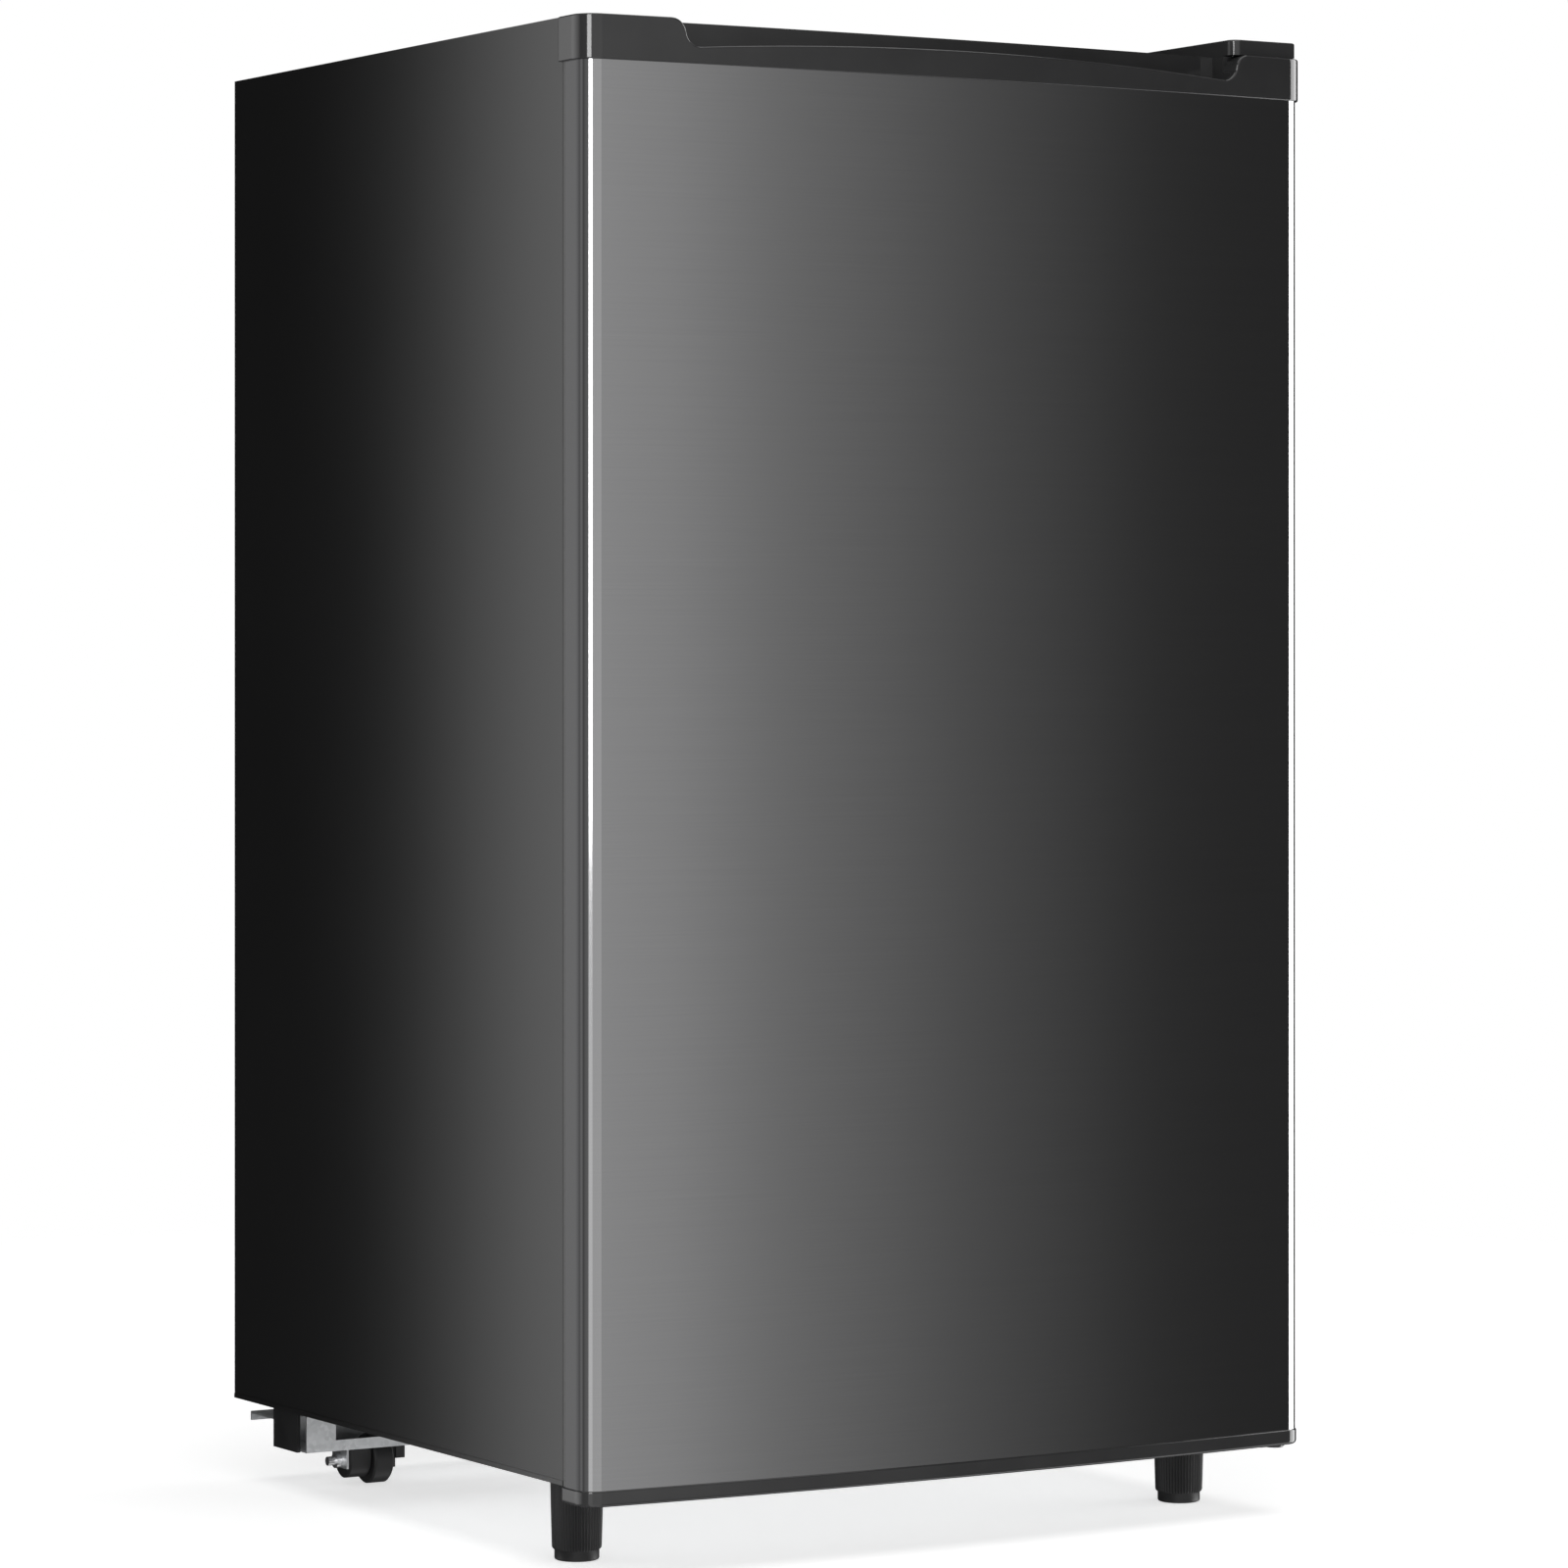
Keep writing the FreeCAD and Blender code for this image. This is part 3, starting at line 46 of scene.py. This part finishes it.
class Finish:
    """A node material in the making: its tree, its Principled shader and its last bump.

    The scales of noise and cells are per metre.
    """

    def __init__(self, name, color, roughness, metallic=0.0, **more):
        self.material = bpy.data.materials.new(name)
        self.material.use_nodes = True
        self.tree = self.material.node_tree
        self.shader = self.tree.nodes["Principled BSDF"]
        self.bump = None
        self.set("Base Color", (*color, 1))
        self.set("Roughness", roughness)
        self.set("Metallic", metallic)
        for key, number in more.items():
            self.set(key.replace("_", " "), number)
        where = self.node("ShaderNodeTexCoord")
        self.place = where.outputs["Object"]

    def set(self, socket, number):
        self.shader.inputs[socket].default_value = number

    def node(self, kind, **props):
        made = self.tree.nodes.new(kind)
        for key, choice in props.items():
            setattr(made, key, choice)
        return made

    def link(self, start, end):
        self.tree.links.new(start, end)

    def stretch(self, x, y, z):
        made = self.node("ShaderNodeMapping")
        made.inputs["Scale"].default_value = (x, y, z)
        self.link(self.place, made.inputs["Vector"])
        return made.outputs[0]

    def noise(self, scale, detail, rough=0.5, place=None):
        made = self.node("ShaderNodeTexNoise")
        made.inputs["Scale"].default_value = scale
        made.inputs["Detail"].default_value = detail
        made.inputs["Roughness"].default_value = rough
        self.link(place or self.place, made.inputs["Vector"])
        return made.outputs["Fac"]

    def cells(self, scale, feature="F1", out="Distance"):
        made = self.node("ShaderNodeTexVoronoi", feature=feature)
        made.inputs["Scale"].default_value = scale
        self.link(self.place, made.inputs["Vector"])
        return made.outputs[out]

    def span(self, fac, low, high, start=0.0, end=1.0):
        made = self.node("ShaderNodeMapRange")
        for key, number in (("From Min", start), ("From Max", end), ("To Min", low), ("To Max", high)):
            made.inputs[key].default_value = number
        self.link(fac, made.inputs["Value"])
        return made.outputs[0]

    def tint(self, fac, low, high, start=0.3, end=0.7):
        """Colour runs from low to high as fac goes from start to end."""
        ramp = self.node("ShaderNodeValToRGB")
        ramp.color_ramp.elements[0].position = start
        ramp.color_ramp.elements[0].color = (*low, 1)
        ramp.color_ramp.elements[1].position = end
        ramp.color_ramp.elements[1].color = (*high, 1)
        self.link(fac, ramp.inputs["Fac"])
        self.link(ramp.outputs["Color"], self.shader.inputs["Base Color"])
        return ramp

    def rough(self, fac, low, high):
        self.link(self.span(fac, low, high), self.shader.inputs["Roughness"])

    def sideways(self):
        """How far a surface faces left or right: 0 to 1."""
        facing = self.node("ShaderNodeSeparateXYZ")
        self.link(self.tree.nodes["Texture Coordinate"].outputs["Normal"], facing.inputs[0])
        made = self.node("ShaderNodeMath", operation="ABSOLUTE")
        self.link(facing.outputs["X"], made.inputs[0])
        return made.outputs[0]

    def raise_by(self, height, depth, strength=1.0):
        """Adds a bump whose heights span depth metres."""
        made = self.node("ShaderNodeBump")
        made.inputs["Strength"].default_value = strength
        made.inputs["Distance"].default_value = depth
        self.link(height, made.inputs["Height"])
        if self.bump:
            self.link(self.bump, made.inputs["Normal"])
        self.bump = made.outputs[0]
        self.link(self.bump, self.shader.inputs["Normal"])


def make_finishes():
    """One material for each of the record's material slots."""
    made = {}

    def finish(slot, *args, **more):
        made[slot] = Finish(slot, *args, **more)
        return made[slot]

    f = finish("cabinet_paint", (0.004, 0.004, 0.0042), 0.34)
    soft = f.noise(6, 3)
    f.tint(soft, (0.0035, 0.0035, 0.0037), (0.0048, 0.0048, 0.005))
    f.rough(soft, 0.33, 0.36)
    f.raise_by(f.noise(900, 2), 0.00002, 0.35)

    f = finish("door_steel", (0.30, 0.30, 0.303), 0.18, 1.0)
    grain = f.noise(1, 4, 0.6, f.stretch(9, 9, 1400))
    brushed = f.tint(grain, (0.285, 0.285, 0.288), (0.30, 0.30, 0.303))
    f.rough(grain, 0.08, 0.11)
    # Painted shade on the door's sides: the metal's colour goes dark where the surface faces left or right.
    # This is partly the sides' dark paint and partly a damping of how brightly they mirror the lights.
    edge = f.node("ShaderNodeMix", data_type="RGBA")
    f.link(f.span(f.sideways(), 0.0, 1.0, 0.8, 0.95), edge.inputs["Factor"])    # painted shade: darker on its sides, partly for their dark paint and partly to damp the light they mirror
    f.link(brushed.outputs["Color"], edge.inputs["A"])
    edge.inputs["B"].default_value = (0.036, 0.036, 0.037, 1)
    f.link(edge.outputs["Result"], f.shader.inputs["Base Color"])

    f = finish("black_gloss", (0.011, 0.011, 0.0115), 0.1)
    cloud = f.noise(35, 3)
    f.tint(cloud, (0.022, 0.022, 0.0225), (0.027, 0.027, 0.0275))
    f.link(f.span(f.sideways(), 0.09, 0.33, 0.85, 0.97), f.shader.inputs["Roughness"])    # duller sides

    f = finish("black_plastic", (0.014, 0.014, 0.0145), 0.42, Specular_IOR_Level=0.25)
    cloud = f.noise(60, 3)
    f.tint(cloud, (0.010, 0.010, 0.0105), (0.015, 0.015, 0.0155))
    f.rough(cloud, 0.36, 0.5)
    f.raise_by(f.noise(1800, 2), 0.00003, 0.5)

    f = finish("white_liner", (0.80, 0.81, 0.81), 0.3)
    cloud = f.noise(5, 3)
    shade = f.tint(cloud, (0.78, 0.79, 0.79), (0.82, 0.83, 0.83))
    split = f.node("ShaderNodeSeparateXYZ")
    f.link(f.place, split.inputs[0])
    out = f.node("ShaderNodeMath", operation="ABSOLUTE")
    f.link(split.outputs["X"], out.inputs[0])
    rim = f.node("ShaderNodeMix", data_type="RGBA")
    f.link(f.span(out.outputs[0], 0.0, 1.0, 0.2190, 0.2194), rim.inputs["Factor"])    # the door's black rim
    f.link(shade.outputs["Color"], rim.inputs["A"])
    rim.inputs["B"].default_value = (0.012, 0.012, 0.012, 1)
    f.link(rim.outputs["Result"], f.shader.inputs["Base Color"])
    f.rough(cloud, 0.26, 0.34)
    f.raise_by(f.noise(420, 2), 0.00003, 0.4)

    f = finish("white_plastic", (0.78, 0.79, 0.79), 0.38)
    cloud = f.noise(30, 3)
    f.tint(cloud, (0.75, 0.76, 0.76), (0.80, 0.81, 0.81))
    f.rough(cloud, 0.33, 0.44)
    f.raise_by(f.noise(1500, 2), 0.00002, 0.4)

    f = finish("frosted_plastic", (0.86, 0.92, 0.95), 0.28, Transmission_Weight=0.75, IOR=1.49)
    cloud = f.noise(18, 3)
    f.tint(cloud, (0.85, 0.915, 0.945), (0.87, 0.93, 0.96))
    f.rough(cloud, 0.26, 0.30)
    f.raise_by(f.noise(1300, 2), 0.00002, 0.5)

    f = finish("foam", (0.72, 0.60, 0.36), 0.9)
    pores = f.cells(900)
    # Painted shade: the colour darkens toward each pore's middle, where the bump below sinks the surface.
    f.tint(pores, (0.55, 0.44, 0.24), (0.78, 0.66, 0.42), 0.1, 0.6)
    f.raise_by(pores, 0.0003)

    f = finish("seal_rubber", (0.022, 0.022, 0.023), 0.55)
    cloud = f.noise(80, 3)
    f.tint(cloud, (0.018, 0.018, 0.019), (0.028, 0.028, 0.029))
    f.rough(cloud, 0.5, 0.65)
    f.raise_by(f.noise(1200, 2), 0.00003, 0.4)

    f = finish("mount_rubber", (0.02, 0.02, 0.02), 0.75)
    cloud = f.noise(90, 4)
    f.tint(cloud, (0.015, 0.015, 0.015), (0.035, 0.034, 0.033))
    f.rough(cloud, 0.65, 0.85)
    f.raise_by(f.noise(900, 3), 0.00005, 0.5)

    f = finish("galvanised", (0.55, 0.56, 0.57), 0.4, 0.9)
    spangle = f.cells(420, out="Color")
    grey = f.node("ShaderNodeRGBToBW")
    f.link(spangle, grey.inputs[0])
    f.tint(grey.outputs[0], (0.46, 0.47, 0.48), (0.56, 0.57, 0.58), 0.1, 0.9)
    f.rough(grey.outputs[0], 0.36, 0.44)

    f = finish("bright_steel", (0.62, 0.62, 0.63), 0.26, 1.0)
    scuff = f.noise(220, 4, 0.6)
    f.tint(scuff, (0.52, 0.52, 0.53), (0.68, 0.68, 0.69))
    f.rough(scuff, 0.2, 0.36)

    f = finish("black_steel", (0.018, 0.018, 0.019), 0.35)
    cloud = f.noise(45, 4)
    f.tint(cloud, (0.014, 0.014, 0.015), (0.026, 0.026, 0.027))
    f.rough(cloud, 0.28, 0.45)
    f.raise_by(f.noise(500, 2), 0.00004, 0.4)

    f = finish("copper", (0.74, 0.37, 0.22), 0.3, 1.0)
    patina = f.noise(70, 4, 0.6)
    f.tint(patina, (0.45, 0.20, 0.11), (0.80, 0.42, 0.26))
    f.rough(patina, 0.24, 0.46)

    f = finish("aluminium", (0.78, 0.79, 0.80), 0.34, 1.0)
    rolled = f.noise(1, 3, 0.6, f.stretch(700, 12, 700))
    f.tint(rolled, (0.70, 0.71, 0.72), (0.82, 0.83, 0.84))
    f.rough(rolled, 0.28, 0.42)

    f = finish("shelf_glass", (0.86, 0.95, 0.91), 0.02, Transmission_Weight=1.0, IOR=1.52)
    cloud = f.noise(20, 2)
    f.tint(cloud, (0.85, 0.945, 0.90), (0.88, 0.96, 0.93))
    f.rough(cloud, 0.01, 0.04)

    f = finish("lens", (0.93, 0.93, 0.90), 0.3, Transmission_Weight=0.5, IOR=1.49)
    cloud = f.noise(60, 2)
    f.tint(cloud, (0.90, 0.90, 0.87), (0.96, 0.96, 0.93))
    f.rough(cloud, 0.24, 0.38)

    f = finish("circuit_board", (0.02, 0.16, 0.06), 0.35)
    track = f.cells(260, "DISTANCE_TO_EDGE")
    f.tint(track, (0.05, 0.28, 0.12), (0.015, 0.13, 0.05), 0.03, 0.08)
    f.raise_by(track, 0.00004)
    return {slot: f.material for slot, f in made.items()}


finishes = make_finishes()
slot_of = {part["node"]: part["material_slot"] for part in record["subparts"]}
for name, node in nodes.items():
    node.data.materials.clear()
    node.data.materials.append(finishes[slot_of[name]])


def add_piece(name, points, faces, body, slot):
    """A new mesh piece that rides on a body and has a slot's finish."""
    mesh = bpy.data.meshes.new(name)
    mesh.from_pydata(points, [], faces)
    mesh.materials.append(finishes[slot])
    piece = bpy.data.objects.new(name, mesh)
    bpy.context.scene.collection.objects.link(piece)
    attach(piece, body)
    return piece


def joined(rows, count):
    """Quads between one closed ring of points and the next."""
    faces = []
    for row in range(rows - 1):
        for i in range(count):
            after = (i + 1) % count
            low, high = row * count, (row + 1) * count
            faces.append((low + after, low + i, high + i, high + after))
    return faces


FOOT_X, FOOT_Y = 0.1888, -0.1564    # where the CAD's feet stand, left and right of the middle
RIBS, STEPS_A_RIB, RIB_DEPTH = 48, 6, 0.0008
FOOT_PROFILE = (                    # radius, height, whether the ribs run across it
    (0.0, 0.068, False), (0.0034, 0.068, False), (0.004, 0.0674, False), (0.004, 0.0452, False),
    (0.0132, 0.0452, False), (0.01345, 0.0449, True), (0.0138, 0.0430, True), (0.0134, 0.0245, True),
    (0.0129, 0.0068, True), (0.0126, 0.0060, True), (0.0120, 0.0055, False), (0.0116, 0.0052, False),
    (0.0116, 0.0010, False), (0.0113, 0.0004, False), (0.0107, 0.0001, False), (0.0, 0.0, False),
)


def ribbed_foot(name, across):
    """Stands in for a levelling foot: a stud, a tapering ribbed body and a smooth pad."""
    count = RIBS * STEPS_A_RIB
    points = []
    for radius, level, ribbed in FOOT_PROFILE:
        for i in range(count):
            angle = 2 * math.pi * i / count
            groove = 0.5 + 0.5 * math.cos(2 * math.pi * i / STEPS_A_RIB)
            reach = radius - (RIB_DEPTH * groove if ribbed else 0.0)
            points.append((across + reach * math.cos(angle), FOOT_Y + reach * math.sin(angle), level))
    foot = add_piece("ribbed_" + name, points, joined(len(FOOT_PROFILE), count), name, "black_plastic")
    foot.data.shade_smooth()
    weld = foot.modifiers.new("weld", "WELD")    # closes the rings of radius 0 at both ends
    weld.merge_threshold = 0.000001
    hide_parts(name)


ribbed_foot("left_foot", -FOOT_X)
ribbed_foot("right_foot", FOOT_X)

ROLLER_Y = 0.1315                   # the rollers' axis
HUB_NEAR, HUB_FAR = 0.1665, 0.1795  # between a roller's outer face and its steel cheek
HUB_TOP, HUB_LOW, HUB_HALF, HUB_SOFT = 0.0219, 0.004, 0.011, 0.0008
HUB_STEPS = 24


def roller_hub(name, side):
    """A plastic hub, round below, that fills the space between a roller and its steel cheek."""
    middle = HUB_LOW + HUB_HALF
    edge = [(HUB_HALF, HUB_TOP), (HUB_HALF, middle)]
    for i in range(1, HUB_STEPS):
        angle = math.pi * i / HUB_STEPS
        edge.append((HUB_HALF * math.cos(angle), middle - HUB_HALF * math.sin(angle)))
    edge += [(-HUB_HALF, middle), (-HUB_HALF, HUB_TOP)]
    points = []
    sections = (
        (HUB_NEAR, HUB_SOFT), (HUB_NEAR + HUB_SOFT, 0.0), (HUB_FAR - HUB_SOFT, 0.0), (HUB_FAR, HUB_SOFT),
    )
    for x, inset in sections:
        share = (HUB_HALF - inset) / HUB_HALF
        points += [(side * x, ROLLER_Y + y * share, HUB_TOP + (z - HUB_TOP) * share) for y, z in edge]
    count, rows = len(edge), len(sections)
    faces = [tuple(range(count)), tuple(reversed(range((rows - 1) * count, rows * count)))]
    hub = add_piece(name, points, faces + joined(rows, count), "cabinet", "black_plastic")
    if side < 0:
        hub.data.flip_normals()


roller_hub("left_roller_hub", -1)
roller_hub("right_roller_hub", 1)


def area(name, spot, aim, width, height, power, spread=180.0):
    """A soft light at spot that faces aim; metres, watts and degrees."""
    data = bpy.data.lights.new(name, "AREA")
    data.shape = "RECTANGLE"
    data.size, data.size_y = width, height
    data.energy = power
    data.spread = math.radians(spread)
    lamp = bpy.data.objects.new(name, data)
    lamp.location = spot
    lamp.rotation_euler = (Vector(aim) - Vector(spot)).to_track_quat("-Z", "Y").to_euler()
    lamp.visible_camera = False
    bpy.context.scene.collection.objects.link(lamp)
    return lamp


# Brightness of the surroundings by azimuth, in degrees to the right of straight in front. The bowed
# door mirrors the slope between 12 and 48; its corners mirror the two bright bands on either side.
GLOW = (
    (-180, 0.03), (-130, 0.04), (-100, 0.2), (-58, 0.33), (-54, 1.4), (-35, 1.4), (-31, 1.0), (12, 1.02),
    (19, 0.9), (26, 0.45), (33, 0.22), (40, 0.078), (48, 0.03), (55, 0.03), (59, 1.4), (96, 1.6), (101, 0.05),
    (150, 0.04),
)

FADE_FROM, FADE_TO, ZENITH = 0.45, 0.85, 0.1    # sines of two elevations, and what is left above


def surroundings():
    """White to the camera; to everything else the brightness in GLOW, fading out overhead."""
    world = bpy.data.worlds.new("surroundings")
    bpy.context.scene.world = world
    world.use_nodes = True
    tree = world.node_tree

    def node(kind, **props):
        made = tree.nodes.new(kind)
        for key, choice in props.items():
            setattr(made, key, choice)
        return made

    def maths(operation, first, second=None):
        made = node("ShaderNodeMath", operation=operation)
        for socket, thing in zip(made.inputs, (first, second)):
            if isinstance(thing, (int, float)):
                socket.default_value = thing
            elif thing is not None:
                tree.links.new(thing, socket)
        return made.outputs[0]

    split = node("ShaderNodeSeparateXYZ")
    tree.links.new(node("ShaderNodeTexCoord").outputs["Generated"], split.inputs[0])
    toward = maths("MULTIPLY", split.outputs["Y"], -1)
    angle = maths("ARCTAN2", split.outputs["X"], toward)
    share = maths("ADD", maths("DIVIDE", angle, 2 * math.pi), 0.5)
    shown = node("ShaderNodeValToRGB")
    ramp = shown.color_ramp
    strongest = max(level for _, level in GLOW)
    while len(ramp.elements) < len(GLOW):
        ramp.elements.new(0.5)
    for element, (azimuth, level) in zip(ramp.elements, GLOW):
        element.position = (azimuth + 180) / 360
        element.color = (level / strongest,) * 3 + (1,)
    tree.links.new(share, shown.inputs["Fac"])
    high = node("ShaderNodeMapRange", interpolation_type="SMOOTHSTEP")
    fade = {"From Min": FADE_FROM, "From Max": FADE_TO, "To Min": strongest, "To Max": ZENITH}
    for key, number in fade.items():
        high.inputs[key].default_value = number
    tree.links.new(split.outputs["Z"], high.inputs["Value"])
    lit = node("ShaderNodeBackground")
    tree.links.new(shown.outputs["Color"], lit.inputs["Color"])
    tree.links.new(high.outputs[0], lit.inputs["Strength"])
    seen = tree.nodes["Background"]
    seen.inputs["Color"].default_value = (1.0, 1.0, 1.0, 1)
    mix = node("ShaderNodeMixShader")
    tree.links.new(node("ShaderNodeLightPath").outputs["Is Camera Ray"], mix.inputs["Fac"])
    tree.links.new(lit.outputs[0], mix.inputs[1])
    tree.links.new(seen.outputs[0], mix.inputs[2])
    tree.links.new(mix.outputs[0], tree.nodes["World Output"].inputs["Surface"])


FLOOR_RADIUS, FLOOR_CORNERS = 1.5, 96
FLOOR_SOLID, FLOOR_GONE = 0.75, 1.45    # distances from the middle between which it fades out
FLOOR_GLOW = 0.62

# Boxes that only mirroring surfaces show: name, azimuth, distance from the front of the door, width,
# height of the lower and upper edges, radiance.
SOFT_BOXES = (
    ("left_box", -47, 2.6, 0.85, 0.3, 2.6, 10),
    ("right_box", 77, 2.0, 1.29, -1.0, 2.0, 5),
)
BOX_CENTRE_Y = -0.2


def studio():
    """A pale floor that fades out into the surroundings, and soft lights."""
    mesh = bpy.data.meshes.new("floor")
    round_edge = []
    for i in range(FLOOR_CORNERS):
        turn = 2 * math.pi * i / FLOOR_CORNERS
        round_edge.append((FLOOR_RADIUS * math.cos(turn), FLOOR_RADIUS * math.sin(turn), 0))
    mesh.from_pydata(round_edge, [], [tuple(range(FLOOR_CORNERS))])
    floor = bpy.data.objects.new("floor", mesh)
    bpy.context.scene.collection.objects.link(floor)
    floor.visible_glossy = False
    floor.visible_shadow = False
    f = Finish("floor_paper", (0.85, 0.85, 0.85), 0.9)
    f.tint(f.noise(3, 2), (0.84, 0.84, 0.84), (0.86, 0.86, 0.86))
    f.set("Specular IOR Level", 0.0)
    f.set("Emission Color", (1, 1, 1, 1))
    f.set("Emission Strength", FLOOR_GLOW)
    out = f.node("ShaderNodeVectorMath", operation="LENGTH")
    f.link(f.place, out.inputs[0])
    f.link(f.span(out.outputs["Value"], 1.0, 0.0, FLOOR_SOLID, FLOOR_GONE), f.shader.inputs["Alpha"])
    mesh.materials.append(f.material)
    surroundings()
    area("overhead", (0, -0.2, 3.2), (0, 0, 0), 3.6, 3.6, 60)
    area("side_strip", (-0.62, -0.03, 0.56), (-0.22, -0.43, 0.56), 0.6, 1.58, 1.68, spread=90)
    for name, azimuth, distance, width, low, high, radiance in SOFT_BOXES:
        turn = math.radians(azimuth)
        level, tall = (low + high) / 2, high - low
        spot = (distance * math.sin(turn), BOX_CENTRE_Y - distance * math.cos(turn), level)
        box = area(name, spot, (0, BOX_CENTRE_Y, level), width, tall, radiance * math.pi * width * tall)
        box.visible_diffuse = False


def camera():
    """The photograph's view: level, with the frame shifted down, and a long lens."""
    data = bpy.data.cameras.new("camera")
    data.sensor_width = 36
    data.lens = 128.475
    data.shift_y = -0.09325
    seen = bpy.data.objects.new("camera", data)
    seen.location = (-1.5826, -2.6792, 0.4741)
    seen.rotation_euler = (math.radians(90), 0, math.radians(-31.04))
    bpy.context.scene.collection.objects.link(seen)
    bpy.context.scene.camera = seen


studio()
camera()
bpy.context.scene.view_settings.view_transform = "Standard"
